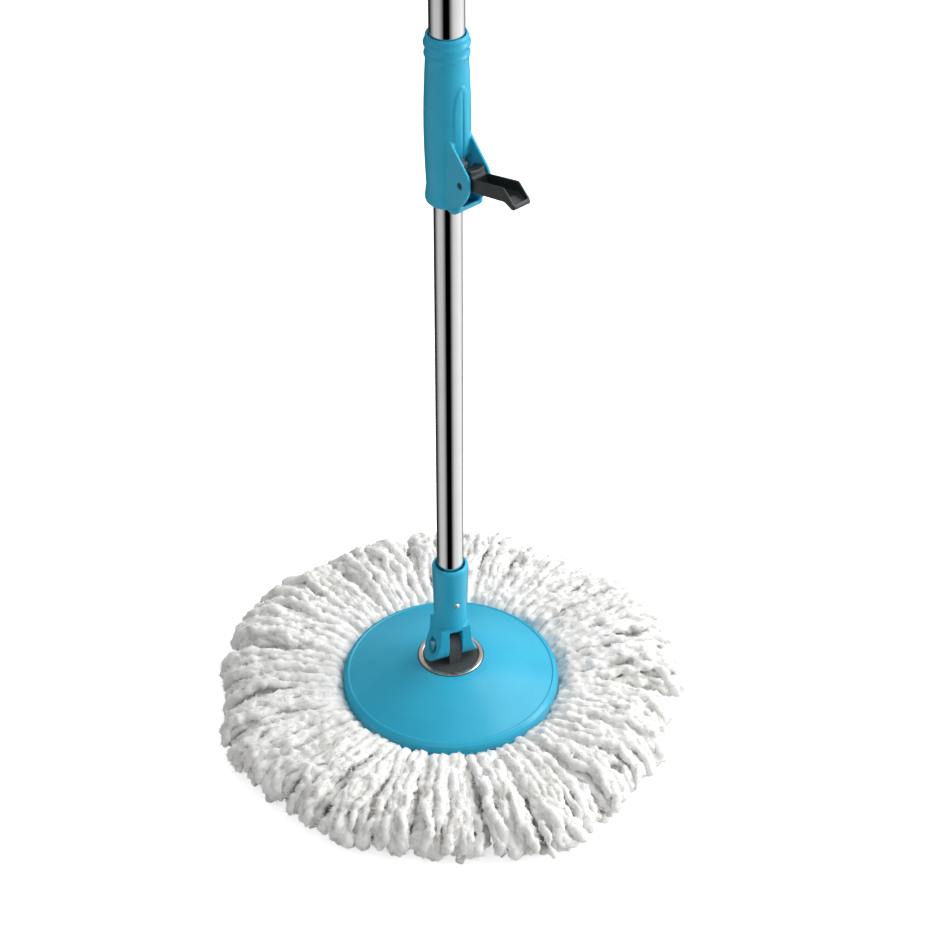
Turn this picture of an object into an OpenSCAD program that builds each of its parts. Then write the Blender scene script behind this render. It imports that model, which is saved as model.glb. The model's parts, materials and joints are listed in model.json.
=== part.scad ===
// Spin mop: a round twist-fibre refill, a tilting disc head, and a telescopic pole
// with a flip lock and a twisted drive strip inside. Millimetres, floor at z = 0,
// pole along +Z, tilt pin along X.

/* [Head] */
// Diameter of the round head cover
cover_d = 160; // [158:0.5:164]
// Height of the cover's edge above the floor
rim_z = 36; // [36:0.5:40]
// Rise of the cover from its edge to its hub
dome_h = 17; // [15:0.5:20]
// Diameter of the spread strands
mop_d = 344; // [320:2:370]
// Inner diameter of the refill's snap ring
snap_d = 94; // [90:1:96]

/* [Tilt joint] */
// Height of the tilt pin above the top of the hub
pin_up = 13.5; // [13.5:0.5:16]
// Diameter of the tilt pin
pin_d = 6; // [5:0.5:7]
// Radius of the fork ears about the tilt pin
ear_r = 10.8; // [10:0.1:11]
// Width of the fork slot
slot_w = 10; // [9.5:0.5:12]

/* [Pole] */
// Outer diameter of the lower tube
lower_d = 19; // [18.8:0.1:19.2]
// Outer diameter of the upper tube
upper_d = 23; // [22.8:0.1:23.2]
// Wall of both tubes
tube_wall = 0.7; // [0.6:0.05:0.8]
// Height of the top of the neck above the floor
neck_z = 142; // [138:1:150]
// Height of the bottom of the lock sleeve above the floor
sleeve_z = 449.5; // [440:0.5:460]
// Height of the top of the upper tube above the floor
pole_top = 1195; // [1150:5:1300]

/* [Flip lock] */
// Direction that the lever points in, from +X
lever_azimuth = -72; // [-80:1:-60]
// Slope of the open lever's arm
lever_slope = 15.6; // [12:0.1:18]
// Distance of the lever pin from the pole's axis
pivot_r = 22.7; // [22.5:0.1:23]
// Height of the lever pin above the bottom of the sleeve
pivot_up = 24.5; // [23:0.5:26]
// Width of the lever's arm at its tip
lever_w = 14; // [13:0.5:14]

/* [Spin drive] */
// Advance of the drive strip for one turn
lead = 120; // [100:5:150]
// Width of the drive strip
strip_w = 10; // [9:0.5:10]
// Thickness of the drive strip
strip_t = 1.5; // [1.2:0.1:1.5]

/* [Hidden] */
$fn = 96;
eps = 0.01;

// Heights in the head, counted down from the cover's edge
hub_top = rim_z + dome_h;
pin_z = hub_top + pin_up;
skirt_low = rim_z - 10.5;
base_top = rim_z - 9.5;
base_low = rim_z - 12;
ring_top = rim_z - 13;
tape_top = ring_top - 2.5;
clamp_top = tape_top - 2.3;
clamp_low = clamp_top - 2.7;
seat_z = hub_top - 4.8;
dish_z = hub_top - 0.8;

cover_r = cover_d / 2;
cover_wall = 2.3;
hub_r = 24.5;
boss_r = 36;
snap_r = snap_d / 2;
mop_r = mop_d / 2;

// Pole radii
lower_r = lower_d / 2;
lower_in = lower_r - tube_wall;
upper_r = upper_d / 2;
upper_in = upper_r - tube_wall;
run_gap = 0.06;

// Neck and lower tube
neck_top_r = 13;
neck_low_r = 11.9;
slot_top = pin_z + 17.5;
neck_low = slot_top + 3;
tube_low = neck_low + 5;
rivet_z = pin_z + 44;
ear_flat = 11;
ear_flare = 7.2;
recess_r = 6;
recess_floor = 10.2;

// Clutch housing at the top of the lower tube
tube_high = sleeve_z + 154.5;
cup_high = tube_high + 18;
nut_z = tube_high + 7;
web_t = 3;

// Drive strip: straight head at the top, twisted below
strip_low = nut_z - 96;
anchor_low = nut_z + 334;
strip_high = anchor_low + 1.3;
tab_w = 11;
tab_t = 2.8;
tab_h = 16;
strip_turn = 360 / lead;
strip_start = strip_turn * (nut_z - strip_low);
tab_turn = strip_start - strip_turn * (anchor_low - strip_low);

// Lock sleeve
sleeve_h = 121.5;
liner_low = 4;
liner_high = 50.5;
cheek_t = 2.3;
cheek_out = 9.5;
window_w = 14;
pad_gap = 0.6;
pad_out = 13.35;
lever_pin_r = 2.2;

// ---------- shared shapes ----------

// A flat ring or tube between two radii and two heights
module ring(outer, inner, low, high) {
    translate([0, 0, low]) difference() {
        cylinder(r = outer, h = high - low);
        translate([0, 0, -1]) cylinder(r = inner, h = high - low + 2);
    }
}

// A cylinder along X between two places
module rod_x(r, from, to) {
    translate([from, 0, 0]) rotate([0, 90, 0]) cylinder(r = r, h = to - from);
}

// A cylinder along Y between two places
module rod_y(r, from, to) {
    translate([0, to, 0]) rotate([90, 0, 0]) cylinder(r = r, h = to - from);
}

// Copies around the pole
module around(count, radius, start = 0) {
    for (i = [0 : count - 1])
        rotate([0, 0, start + i * 360 / count]) translate([radius, 0, 0]) children();
}

// The flip lock's own frame: +X is the way the lever points, z counts from the sleeve's bottom
module lock_frame() {
    translate([0, 0, sleeve_z]) rotate([0, 0, lever_azimuth]) children();
}

// A side outline in the lock's frame, made thick about its middle plane
module side_plate(thick, offset_y = 0) {
    translate([0, offset_y + thick / 2, 0]) rotate([90, 0, 0]) linear_extrude(thick) children();
}

// ---------- refill ----------

module strands() {
    color("whitesmoke") rotate_extrude() polygon([
        [50, 0], [mop_r - 20, 0], [mop_r - 6, 5], [mop_r, 13], [mop_r - 1, 21], [mop_r - 9, 28],
        [mop_r - 32, 32], [mop_r - 62, 33.5], [cover_r + 12, 32], [cover_r + 4, 27.5],
        [cover_r - 1, skirt_low - 2], [73, ring_top - 1], [73, clamp_low], [50, clamp_low]
    ]);
}

module binding_tape() {
    color("gainsboro") ring(73, 51, clamp_top, tape_top);
}

module clamp_ring() {
    color("white") difference() {
        ring(71, 50, clamp_low, clamp_top);
        around(12, 60.5) translate([0, 0, clamp_low - 1]) cylinder(r = 2, h = 2.2);
    }
}

module refill_ring() {
    color("white") {
        ring(72, snap_r, tape_top, ring_top);
        ring(snap_r + 2.5, snap_r, clamp_low - 1.5, ring_top);
    }
}

// ---------- head plate ----------

// Height of the cover's top surface at a radius
function crown(r) = hub_top - (dome_h - 0.6) * pow((r - hub_r) / (cover_r - 5 - hub_r), 1.35);

module disc_cover() {
    shell_r = [for (i = [0 : 10]) hub_r + i * (cover_r - 5 - hub_r) / 10];
    color("deepskyblue") difference() {
        union() {
            rotate_extrude() polygon(concat(
                [for (r = shell_r) [r, crown(r)]],
                [[cover_r - 4.2, rim_z + 1], [cover_r - 3.2, rim_z + 0.6], [cover_r - 1, rim_z - 1.4],
                 [cover_r - 0.2, rim_z - 3.6], [cover_r + 0.4, skirt_low], [cover_r - 2, skirt_low],
                 [cover_r - 2.6, rim_z - 3.6], [cover_r - 4.6, rim_z - 1.7]],
                [for (i = [10 : -1 : 0]) [shell_r[i], crown(shell_r[i]) - cover_wall]]
            ));
            ring(hub_r + 2.2, hub_r, seat_z - 2.6, hub_top - 1);
            ring(hub_r + 2.2, 9.3, seat_z - 2.6, seat_z);
            around(4, boss_r, 45) translate([0, 0, base_top]) cylinder(r = 3.6, h = crown(boss_r) - 1 - base_top);
            around(8, 0) translate([27, -0.8, crown(62) - 8]) cube([38, 1.6, 7]);
        }
        around(4, boss_r, 45) translate([0, 0, base_top - 1]) cylinder(r = 1.5, h = 15);
    }
}

module base_plate() {
    color("dodgerblue") difference() {
        union() {
            translate([0, 0, base_low]) cylinder(r = cover_r - 2.8, h = base_top - base_low);
            ring(snap_r - 0.4, snap_r - 3.6, base_low - 6.5, base_low + eps);
        }
        translate([0, 0, base_low - 1]) cylinder(r = 2.6, h = 10);
        around(4, boss_r, 45) translate([0, 0, base_low - 1]) cylinder(r = 1.6, h = 10);
        around(8, 62) translate([0, 0, base_low - 1]) cylinder(r = 5, h = 10);
    }
}

module cover_screws() {
    color("silver") around(4, boss_r, 45) difference() {
        union() {
            translate([0, 0, base_low - 2.4]) cylinder(r = 3.4, h = 2.4);
            translate([0, 0, base_low]) cylinder(r = 1.5, h = 14);
        }
        for (turn = [0, 90]) rotate([0, 0, turn])
            translate([-2, -0.4, base_low - 3]) cube([4, 0.8, 1.6]);
    }
}

module trim_ring() {
    color("silver") rotate_extrude() polygon([
        [20.6, dish_z], [24, dish_z], [24, hub_top + 0.4], [23.4, hub_top + 1.1],
        [21.4, hub_top + 1.1], [20.6, hub_top + 0.5]
    ]);
}

module knuckle() {
    tongue_w = slot_w - 0.7;
    tongue_r = 9.6;
    color("dimgray") difference() {
        union() {
            ring(24, 0, seat_z, dish_z);
            translate([0, 0, base_top]) cylinder(r = 9, h = seat_z - base_top + eps);
            translate([0, 0, pin_z]) rod_x(tongue_r, -tongue_w / 2, tongue_w / 2);
            translate([-tongue_w / 2, -tongue_r, dish_z - eps]) cube([tongue_w, 2 * tongue_r, pin_z - dish_z]);
        }
        translate([0, 0, pin_z]) rod_x(pin_d / 2 + 0.05, -20, 20);
        translate([0, 0, base_top - 1]) cylinder(r = 2.5, h = 19);
    }
}

module knuckle_washer() {
    color("silver") ring(11, 2.6, base_low - 1.5, base_low);
}

module knuckle_screw() {
    color("silver") difference() {
        union() {
            translate([0, 0, base_low - 5]) cylinder(r = 4.6, h = 3.5);
            translate([0, 0, base_low - 1.5]) cylinder(r = 2.5, h = 21);
        }
        translate([0, 0, base_low - 6]) cylinder(r = 2.3, h = 3, $fn = 6);
    }
}

// ---------- lower pole ----------

// Half width of the fork along X at a depth below the top of its flare
function flare(depth) = neck_low_r + 0.3 + ear_flare * pow(depth / 21, 1.7);

module fork_neck() {
    flare_top = pin_z + 11;
    ear_low = pin_z - ear_r;
    steps = [for (i = [0 : 10]) i * (flare_top - ear_low) / 10];
    color("deepskyblue") difference() {
        union() {
            rotate_extrude() polygon([
                [0, slot_top - 3], [neck_low_r - 0.8, slot_top - 3], [neck_low_r, neck_low],
                [neck_low_r + 0.2, neck_low + 8], [neck_top_r - 0.5, neck_z - 22], [neck_top_r, neck_z - 8],
                [neck_top_r + 0.1, neck_z - 2.4], [neck_top_r - 0.7, neck_z - 0.7], [neck_top_r - 1.6, neck_z],
                [lower_r + 1.1, neck_z], [0, neck_z]
            ]);
            intersection() {
                union() {
                    translate([0, 0, pin_z]) rod_x(ear_r, -30, 30);
                    translate([-30, -ear_flat, pin_z]) cube([60, 2 * ear_flat, neck_low - pin_z]);
                }
                translate([0, 30, 0]) rotate([90, 0, 0]) linear_extrude(60) polygon(concat(
                    [[neck_low_r - 0.2, neck_low]],
                    [for (d = steps) [flare(d), flare_top - d]],
                    [for (i = [10 : -1 : 0]) [-flare(steps[i]), flare_top - steps[i]]],
                    [[-neck_low_r + 0.2, neck_low]]
                ));
            }
        }
        translate([0, 0, tube_low]) cylinder(r = lower_r, h = neck_z);
        translate([0, 0, neck_z - 4]) cylinder(r = lower_r + 1.1, h = 10);
        translate([-slot_w / 2, -20, pin_z - 20]) cube([slot_w, 40, slot_top - pin_z + 20]);
        translate([0, 0, pin_z]) rod_x(pin_d / 2, -30, 30);
        for (side = [0, 180]) translate([0, 0, pin_z]) rotate([0, 0, side]) rod_x(recess_r, recess_floor, 30);
        translate([0, 0, rivet_z]) rod_y(1.5, -20, 0);
    }
}

module tilt_pin() {
    color("silver") translate([0, 0, pin_z]) {
        rod_x(pin_d / 2, -recess_floor, recess_floor);
        rod_x(3.4, -recess_floor - 4.2, -recess_floor);
        rod_x(3.8, recess_floor, recess_floor + 1.6);
    }
}

module neck_rivet() {
    color("silver") translate([0, 0, rivet_z]) {
        rod_y(1.5, -12.6, -lower_in + 0.6);
        intersection() {
            translate([0, -11.4, 0]) sphere(r = 2.4);
            rod_y(2.1, -15, -12.55);
        }
    }
}

module lower_tube() {
    color("gainsboro") difference() {
        ring(lower_r, lower_in, tube_low, tube_high);
        translate([0, 0, rivet_z]) rod_y(1.5, -20, 0);
    }
}

// Saw teeth on a ring face, pointing up
module ratchet(inner, outer, height) {
    around(8, 0) rotate([90, 0, 90]) translate([0, 0, inner])
        linear_extrude(outer - inner) polygon([[0, -0.4], [3, -0.4], [3, height], [0, 0]]);
}

module clutch_housing() {
    color("slategray") difference() {
        union() {
            translate([0, 0, tube_high - 20]) cylinder(r = lower_in, h = 20);
            translate([0, 0, tube_high]) cylinder(r = 9.9, h = cup_high - tube_high);
        }
        translate([0, 0, tube_high - 21]) cylinder(r = 5.6, h = 60);
        translate([0, 0, nut_z - 5.5]) cylinder(r = 7.6, h = 60);
    }
    color("slategray") translate([0, 0, nut_z - 5.5]) ratchet(5.9, 7.3, 0.9);
}

module housing_cap() {
    color("slategray") ring(9.9, 5.6, cup_high, cup_high + 2.5);
}

// ---------- guide and drive nut ----------

module guide_bush() {
    color("ivory") difference() {
        ring(upper_in - run_gap, lower_r + run_gap, tube_high - 16, tube_high - 0.5);
        around(3, upper_in, 30) translate([0, 0, tube_high - 17]) cylinder(r = 0.5, h = 20);
    }
}

module drive_nut() {
    slot_gap = 1;
    color("goldenrod") difference() {
        union() {
            ring(7.5, 5.5, nut_z - 4.2, nut_z + 5);
            translate([0, 0, nut_z - web_t / 2]) cylinder(r = 6, h = web_t);
        }
        translate([-strip_w / 2 - 0.3, -(strip_t + slot_gap) / 2, nut_z - 5])
            cube([strip_w + 0.6, strip_t + slot_gap, 10]);
        around(8, 6.6) translate([0, 0, nut_z - 4.7]) cylinder(r = 0.45, h = 1.3);
    }
}

// ---------- upper handle ----------

module upper_tube() {
    color("gainsboro") difference() {
        ring(upper_r, upper_in, sleeve_z + liner_high + 1, pole_top);
        translate([0, 0, anchor_low + tab_h + 5]) rod_x(1.5, -20, 20);
    }
}

// Radius of the sleeve's barrel at a height above its bottom
function barrel(z) = 13.9 + 1.3 * sin(180 * (z - 12) / 90);

// Half width of the arched panel at a height above the sleeve's bottom
function arch(z) = 6.2 * sqrt(max(0, 1 - pow(max(0, z - 66) / 23, 2)));

module sleeve_shell() {
    rotate_extrude() polygon(concat(
        [[0, 0], [12.9, 0], [14.2, 0.8], [14.8, 2.4], [14.8, 4.4], [14.5, 6.6], [14.3, 9.5]],
        [for (z = [12 : 9 : 102]) [barrel(z), z]],
        [[13.9, 119], [13.5, 120.6], [12.7, sleeve_h], [0, sleeve_h]]
    ));
    rotate_extrude() translate([12.6, 107.3]) circle(r = 2.15);
    rotate_extrude() translate([12.7, 114.6]) circle(r = 2.4);
}

module sleeve_panel() {
    intersection() {
        rotate_extrude() polygon(concat(
            [[0, 38]], [for (z = [38 : 8.5 : 89]) [barrel(z) + 0.55, z]], [[0, 89]]
        ));
        translate([10, 0, 0]) rotate([90, 0, 90]) linear_extrude(10) polygon(concat(
            [for (z = [38, 66, 72, 77, 81, 84, 86.5, 88.2, 89]) [arch(z), z]],
            [for (z = [88.2, 86.5, 84, 81, 77, 72, 66, 38]) [-arch(z), z]]
        ));
    }
}

module cheek() {
    polygon([
        [9, 57], [12.3, 52.5], [29.4, 35.4], [31.2, 32.6], [32, 29], [31.8, 24.5], [30.4, 19.5],
        [27.4, 14.2], [23.4, 8.4], [19.6, 4.6], [15.6, 2.6], [9, 2.4]
    ]);
}

module lock_sleeve() {
    pin_place = [pivot_r, 0, pivot_up];
    color("deepskyblue") lock_frame() difference() {
        union() {
            sleeve_shell();
            sleeve_panel();
            for (side = [-1, 1])
                side_plate(cheek_t, side * (cheek_out - cheek_t / 2)) cheek();
            side_plate(2 * cheek_out + 1.4) polygon([
                [12, 0.6], [15, 0.3], [18.6, 1.2], [21.8, 3.6], [23.6, 6.8], [22.4, 8.2], [19.8, 5.4],
                [16.4, 3.6], [12, 3.4]
            ]);
        }
        translate([0, 0, liner_low]) cylinder(r = upper_r, h = sleeve_h);
        translate([0, 0, -1]) cylinder(r = lower_r + 0.5, h = sleeve_h);
        translate([0, 0, sleeve_h - 1.6]) cylinder(r = upper_r + 0.7, h = 5);
        translate([5, -window_w / 2, pivot_up - 7.6]) cube([16, window_w, 20.6]);
        translate([14.6, -0.75, 38]) cube([5, 1.5, 47]);
        translate(pin_place) rod_y(lever_pin_r, -20, 20);
    }
}

module collet_liner() {
    color("whitesmoke") lock_frame() difference() {
        ring(upper_r, lower_r + 0.1, liner_low, liner_high);
        translate([5, -6.7, pivot_up - 6.9]) cube([16, 13.4, 13.8]);
        rotate([0, 0, 180]) translate([5, -0.8, liner_low - 1]) cube([16, 1.6, 60]);
    }
}

module lever_pin() {
    color("dimgray") lock_frame() translate([pivot_r, 0, pivot_up]) rod_y(lever_pin_r, -9.2, 9.2);
}

module drive_strip() {
    color("silver") {
        translate([0, 0, strip_low]) rotate([0, 0, strip_start])
            linear_extrude(strip_high - strip_low, twist = strip_turn * (strip_high - strip_low),
                slices = 172, $fn = 4)
                square([strip_w, strip_t], center = true);
        rotate([0, 0, tab_turn]) translate([-tab_w / 2, -tab_t / 2, anchor_low])
            cube([tab_w, tab_t, tab_h]);
    }
}

module strip_anchor() {
    color("slategray") difference() {
        translate([0, 0, anchor_low]) cylinder(r = upper_in, h = tab_h + 10);
        rotate([0, 0, tab_turn]) translate([-tab_w / 2, -tab_t / 2, anchor_low - 1])
            cube([tab_w, tab_t, tab_h + 1]);
        translate([0, 0, anchor_low + tab_h + 5]) rod_x(1.5, -20, 20);
    }
}

module anchor_pin() {
    color("silver") translate([0, 0, anchor_low + tab_h + 5]) rod_x(1.5, -upper_r - 0.3, upper_r + 0.3);
}

module hand_grip() {
    grip_low = pole_top - 145;
    grip_span = 143;
    waist = [for (i = [1 : 11]) [14.6 - 0.9 * sin(180 * i / 12), grip_low + i * grip_span / 12]];
    color("deepskyblue") rotate_extrude() difference() {
        polygon(concat(
            [[upper_r, grip_low], [13.2, grip_low], [14.6, grip_low + 2.5]], waist,
            [[14.8, grip_low + grip_span - 2], [14.2, grip_low + grip_span], [upper_r, grip_low + grip_span]]
        ));
        for (i = [3 : 9]) translate([14.6, grip_low + i * grip_span / 12]) circle(r = 1.3);
    }
}

module hang_cap() {
    lug_z = pole_top + 25;
    color("deepskyblue") {
        ring(upper_in, upper_in - 2.2, pole_top - 22, pole_top);
        rotate_extrude() polygon([
            [0, pole_top], [upper_r, pole_top], [upper_r, pole_top - 2], [14.8, pole_top - 2],
            [15, pole_top], [14.6, pole_top + 4], [13, pole_top + 7.5], [9, pole_top + 10], [0, pole_top + 11]
        ]);
        difference() {
            translate([0, 4.5, 0]) rotate([90, 0, 0]) linear_extrude(9) union() {
                translate([0, lug_z]) circle(r = 10.5);
                translate([-10.5, pole_top + 5]) square([21, lug_z - pole_top - 5]);
            }
            translate([0, 0, lug_z]) rod_y(4.5, -10, 10);
        }
    }
}

// ---------- lever and pad ----------

// The lever in its own frame: pin at the origin, arm along +X, +Z towards the pole when shut
module lever_solid() {
    difference() {
        union() {
            intersection() {
                side_plate(lever_w) polygon([
                    [2, -4.2], [40.5, -4.2], [47.4, -8.5], [49.2, -8.2], [50.3, -6.4], [42.4, 5],
                    [41, 5.5], [2, 5.5]
                ]);
                translate([0, 0, -20]) linear_extrude(40) polygon([
                    [2, -5.8], [10, -6.1], [49, -lever_w / 2], [51, -lever_w / 2 + 1.6],
                    [51, lever_w / 2 - 1.6], [49, lever_w / 2], [10, 6.1], [2, 5.8]
                ]);
            }
            side_plate(11.6) polygon([
                [-6, 0], [-5, 5], [-2.5, 8.3], [-0.5, 9.1], [1.5, 11.8], [8.3, 11.8], [9.4, 10.6],
                [9.4, -4.2], [4, -5.4], [0, -6], [-4.4, -4.2]
            ]);
        }
        side_plate(lever_w - 3) polygon([
            [11, -2.4], [40.9, -2.4], [46.8, -6], [50.2, -3.6], [42, 14], [11, 14]
        ]);
        translate([0, 0, pivot_r]) rod_x(pad_out + 0.05, -20, 30);
        rod_y(lever_pin_r + 0.06, -20, 20);
    }
}

module lock_lever() {
    color("dimgray") lock_frame() translate([pivot_r, 0, pivot_up]) rotate([0, -lever_slope, 0]) lever_solid();
}

module clamp_pad() {
    color("whitesmoke") lock_frame() translate([pad_gap, 0, 0]) intersection() {
        ring(pad_out, lower_r + 0.1, pivot_up - 6.5, pivot_up + 6.5);
        translate([5, -6.3, pivot_up - 10]) cube([16, 12.6, 20]);
    }
}

strands();
binding_tape();
clamp_ring();
refill_ring();
base_plate();
disc_cover();
cover_screws();
trim_ring();
knuckle();
knuckle_washer();
knuckle_screw();
fork_neck();
tilt_pin();
neck_rivet();
lower_tube();
clutch_housing();
housing_cap();
guide_bush();
drive_nut();
upper_tube();
lock_sleeve();
collet_liner();
lever_pin();
drive_strip();
strip_anchor();
anchor_pin();
hand_grip();
hang_cap();
lock_lever();
clamp_pad();
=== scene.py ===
"""Looks of a spin mop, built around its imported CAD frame.

Every piece is in metres in the row frame: floor at z = 0, pole along +Z, tilt pin along X.
The rigid parts keep their CAD shape. Moulded parts get softened edges, and the refill's
yarn is swept strand by strand over the space that its CAD solid holds.
"""

from __future__ import annotations

import json
import logging
import math
from collections.abc import Sequence
from dataclasses import dataclass, field
from enum import Enum

import bmesh
import bpy
import numpy as np
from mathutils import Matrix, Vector

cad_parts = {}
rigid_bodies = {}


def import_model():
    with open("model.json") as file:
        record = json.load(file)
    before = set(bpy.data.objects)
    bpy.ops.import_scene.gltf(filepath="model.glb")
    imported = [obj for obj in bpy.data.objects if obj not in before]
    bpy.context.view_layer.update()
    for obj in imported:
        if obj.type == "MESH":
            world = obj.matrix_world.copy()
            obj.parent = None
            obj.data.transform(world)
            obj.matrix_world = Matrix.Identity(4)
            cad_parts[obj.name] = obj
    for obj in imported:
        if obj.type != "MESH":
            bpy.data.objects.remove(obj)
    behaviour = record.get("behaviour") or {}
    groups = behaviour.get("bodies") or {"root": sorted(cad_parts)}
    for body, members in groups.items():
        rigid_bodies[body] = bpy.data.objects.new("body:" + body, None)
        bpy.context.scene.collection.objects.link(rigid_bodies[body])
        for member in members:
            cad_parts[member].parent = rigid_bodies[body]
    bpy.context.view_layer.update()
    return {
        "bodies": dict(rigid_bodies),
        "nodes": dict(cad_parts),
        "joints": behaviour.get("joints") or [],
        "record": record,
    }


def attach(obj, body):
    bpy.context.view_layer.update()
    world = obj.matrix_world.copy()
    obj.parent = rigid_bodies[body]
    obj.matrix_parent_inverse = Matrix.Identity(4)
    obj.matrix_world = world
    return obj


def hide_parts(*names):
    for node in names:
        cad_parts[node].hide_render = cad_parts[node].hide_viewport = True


Colour = tuple[float, float, float]
Span = tuple[float, float]
Strand = dict[str, np.ndarray]
Socket = bpy.types.NodeSocket

LOG = logging.getLogger("spin_mop")
MM = 0.001
TURN = 2 * math.pi
WELD_DISTANCE = 2e-6
PLASTIC_IOR = 1.49
PURE_WHITE = (1.0, 1.0, 1.0, 1.0)
RISING: Span = (0.0, 1.0)
FALLING: Span = (1.0, 0.0)

# Ranges that hold the middle of a noise texture's values, a narrow one and a wide one.
NOISE_CORE: Span = (0.35, 0.65)
NOISE_BULK: Span = (0.3, 0.7)

# How closely marks lie across X, Y and Z on metal drawn along the pole or turned about it.
DRAWN_MARKS = (900.0, 900.0, 6.0)
TURNED_MARKS = (260.0, 260.0, 900.0)


class Body(Enum):
    """The CAD bodies that new pieces ride on."""

    REFILL = "refill"
    LOWER = "lower_pole"
    UPPER = "upper_handle"
    LEVER = "lever"


class Slot(Enum):
    """The record's material slots."""

    YARN = "yarn"
    TAPE = "tape"
    WHITE = "white_plastic"
    BLUE = "blue_plastic"
    GREY = "grey_plastic"
    DARK = "dark_plastic"
    GRIP = "grip_plastic"
    ZINC = "zinc_steel"
    RING = "ring_steel"
    BLACKENED = "dark_steel"
    BRASS = "nut_brass"
    TUBE = "polished_tube"


class Graph:
    """A node tree with short calls to add and join nodes."""

    def __init__(self, tree: bpy.types.NodeTree) -> None:
        """Keeps the tree.

        Args:
            tree: The shader or geometry tree to build in.
        """
        self.tree = tree

    def add(
        self, kind: str, inputs: dict[str | int, object] | None = None, **settings: object
    ) -> bpy.types.Node:
        """Adds a node.

        Args:
            kind: The node's type name.
            inputs: Values or sockets for its inputs, by name or index.
            settings: The node's own properties.

        Returns:
            The new node.
        """
        node = self.tree.nodes.new(kind)
        for name, value in settings.items():
            setattr(node, name, value)
        for key, value in (inputs or {}).items():
            self.feed(node.inputs[key], value)
        return node

    def feed(self, socket: Socket, value: object) -> None:
        """Links or sets one input.

        Args:
            socket: The input.
            value: A socket to link from, or a plain value.
        """
        if isinstance(value, bpy.types.NodeSocket):
            self.tree.links.new(value, socket)
        else:
            socket.default_value = value

    def math(self, operation: str, *values: object) -> Socket:
        """Adds a Math node and returns its output."""
        node = self.add("ShaderNodeMath", dict(enumerate(values)), operation=operation)
        return node.outputs[0]

    def vector_math(self, operation: str, *values: object, output: str = "Vector") -> Socket:
        """Adds a Vector Math node and returns its named output."""
        node = self.add("ShaderNodeVectorMath", dict(enumerate(values)), operation=operation)
        return node.outputs[output]

    def remap(self, value: Socket, source: Span, target: Span) -> Socket:
        """Maps one range of a value smoothly onto another.

        Args:
            value: The value's socket.
            source: Its low and high end.
            target: What those ends become.

        Returns:
            The mapped value's socket.
        """
        ends = {
            "Value": value,
            "From Min": source[0],
            "From Max": source[1],
            "To Min": target[0],
            "To Max": target[1],
        }
        node = self.add("ShaderNodeMapRange", ends, interpolation_type="SMOOTHSTEP")
        return node.outputs["Result"]

    def ramp(self, value: Socket, stops: Sequence[Span]) -> Socket:
        """Adds a grey Color Ramp.

        Args:
            value: The factor's socket.
            stops: Position and grey level of each stop.

        Returns:
            The ramp's colour socket.
        """
        node = self.add("ShaderNodeValToRGB", {0: value})
        elements = node.color_ramp.elements
        while len(elements) > 1:
            elements.remove(elements[-1])
        for i, (place, level) in enumerate(stops):
            element = elements[0] if i == 0 else elements.new(place)
            element.position = place
            element.color = (level, level, level, 1.0)
        return node.outputs["Color"]

    def noise(self, vector: Socket, scale: float | Socket, detail: float = 3.0) -> Socket:
        """Adds a Noise Texture and returns its factor."""
        inputs = {"Vector": vector, "Scale": scale, "Detail": detail}
        return self.add("ShaderNodeTexNoise", inputs).outputs[0]

    def bump(self, height: Socket, strength: float, distance: float) -> Socket:
        """Adds a Bump node and returns its normal."""
        inputs = {"Height": height, "Strength": strength, "Distance": distance}
        return self.add("ShaderNodeBump", inputs).outputs["Normal"]

    def mix(self, factor: Socket, first: object, second: object) -> Socket:
        """Mixes two colours by a factor.

        Args:
            factor: The second colour's share.
            first: A colour's socket, or its four values.
            second: The same.

        Returns:
            The mixed colour's socket.
        """
        node = self.add("ShaderNodeMix", data_type="RGBA")
        for index, value in ((0, factor), (6, first), (7, second)):
            self.feed(node.inputs[index], value)
        return node.outputs[2]

    def tint(self, factor: Socket, first: Colour, second: Colour) -> Socket:
        """Mixes two opaque colours by a factor and returns the result."""
        return self.mix(factor, (*first, 1.0), (*second, 1.0))

    def attribute(self, name: str) -> Socket:
        """Reads a float attribute in a geometry tree."""
        node = self.add("GeometryNodeInputNamedAttribute", {"Name": name}, data_type="FLOAT")
        return node.outputs["Attribute"]

    def store(self, geometry: Socket, name: str, value: Socket) -> Socket:
        """Stores a float attribute on a geometry's points and returns the geometry."""
        inputs = {"Geometry": geometry, "Name": name, "Value": value}
        settings = {"data_type": "FLOAT", "domain": "POINT"}
        return self.add("GeometryNodeStoreNamedAttribute", inputs, **settings).outputs["Geometry"]


def fresh_material(name: str) -> tuple[bpy.types.Material, Graph, bpy.types.Node, Socket]:
    """Starts a node material.

    Args:
        name: The material's name.

    Returns:
        The material, its graph, its Principled node and the Object coordinate socket.
    """
    material = bpy.data.materials.new(name)
    material.use_nodes = True
    graph = Graph(material.node_tree)
    shader = material.node_tree.nodes["Principled BSDF"]
    place = graph.add("ShaderNodeTexCoord").outputs["Object"]
    return material, graph, shader, place


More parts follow.
